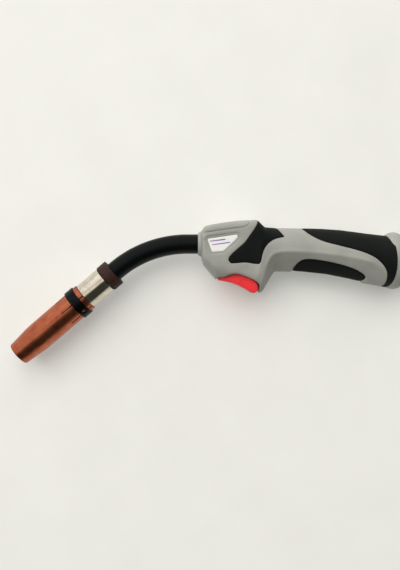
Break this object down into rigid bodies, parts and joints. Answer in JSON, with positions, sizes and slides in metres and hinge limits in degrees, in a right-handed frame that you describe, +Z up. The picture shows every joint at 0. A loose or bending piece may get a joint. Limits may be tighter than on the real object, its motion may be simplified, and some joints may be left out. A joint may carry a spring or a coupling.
{
  "type": "mig welding torch",
  "caption": "Hand-held gas-cooled MIG welding torch with bent neck, slotted copper nozzle, two-shell pistol grip, sprung trigger and swivelling cable inlet.",
  "frame": {"origin": "centre of the bounding box at its lowest face: the torch lies on its right side on a flat surface", "axes": "+X runs from the nozzle back to the cable inlet along the handle, +Y from the trigger side to the top cover, +Z up out of the left flank"},
  "size_m": [0.3592, 0.1265, 0.0504],
  "materials": {
    "copper": "drawn and lightly brushed copper",
    "black_steel": "blackened spring steel",
    "brass": "turned brass",
    "nickel": "bright nickel plate",
    "steel": "zinc-plated steel",
    "ceramic": "matt white moulding",
    "phenolic": "machined dark brown laminate",
    "grey_plastic": "fine textured moulding",
    "black_plastic": "satin moulding",
    "black_rubber": "soft-touch overmoulding",
    "red_plastic": "satin red moulding",
    "white_label": "smooth printed film"
  },
  "bodies": {
    "handle": {"contact_tip": "copper", "tip_holder": "brass", "gas_diffuser": "ceramic", "sleeve_insulator": "phenolic", "head_sleeve": "nickel", "insulator_collar": "phenolic", "neck_core": "brass", "neck_cover": "black_rubber", "wire_liner": "steel", "neck_nut": "brass", "cable_connector": "brass", "handle_shell_left": "grey_plastic", "handle_shell_right": "grey_plastic", "handle_screw_1": "steel", "handle_screw_2": "steel", "handle_screw_3": "steel", "handle_screw_4": "steel", "front_pad_left": "black_rubber", "front_pad_right": "black_rubber", "palm_pad_left": "black_rubber", "palm_pad_right": "black_rubber", "finger_pad_left": "black_rubber", "finger_pad_right": "black_rubber", "top_cover": "grey_plastic", "label_plate": "white_label", "trigger_pin": "steel", "microswitch_body": "black_plastic", "control_lead_1": "black_rubber", "control_lead_2": "red_plastic", "lead_splice_1": "white_label", "lead_splice_2": "white_label", "rear_collar": "grey_plastic"},
    "trigger": {"trigger": "red_plastic"},
    "plunger": {"switch_plunger": "red_plastic"},
    "nozzle": {"gas_nozzle": "copper", "nozzle_clamp_ring": "black_steel"},
    "swivel_ball": {"swivel_ball": "black_plastic"},
    "cable_socket": {"cable_socket": "black_plastic"}
  },
  "joints": [
    {"name": "trigger_press", "type": "hinge", "parent": "handle", "child": "trigger", "pos_m": [0.00932, 0.01638, 0.02519], "axis": [0, 0, 1], "range_deg": [0, 5], "stiffness_Nm_per_rad": 0.6, "springref_deg": -2.86},
    {"name": "plunger_press", "type": "slide", "parent": "handle", "child": "plunger", "axis": [0, 1, 0], "range_m": [0, 0.0017]},
    {"name": "nozzle_pull", "type": "slide", "parent": "handle", "child": "nozzle", "axis": [-0.7581, -0.6521, 0], "range_m": [0, 0.09]},
    {"name": "ball_tilt", "type": "hinge", "parent": "handle", "child": "swivel_ball", "pos_m": [0.16132, 0.02858, 0.02519], "axis": [0, 0, 1], "range_deg": [-18, 18]},
    {"name": "cable_spin", "type": "hinge", "parent": "swivel_ball", "child": "cable_socket", "pos_m": [0.16132, 0.02858, 0.02519], "axis": [1, 0, 0], "continuous": true}
  ],
  "couplings": [
    {"joint": "plunger_press", "follows": "trigger_press", "m_per_rad": 0.019}
  ]
}
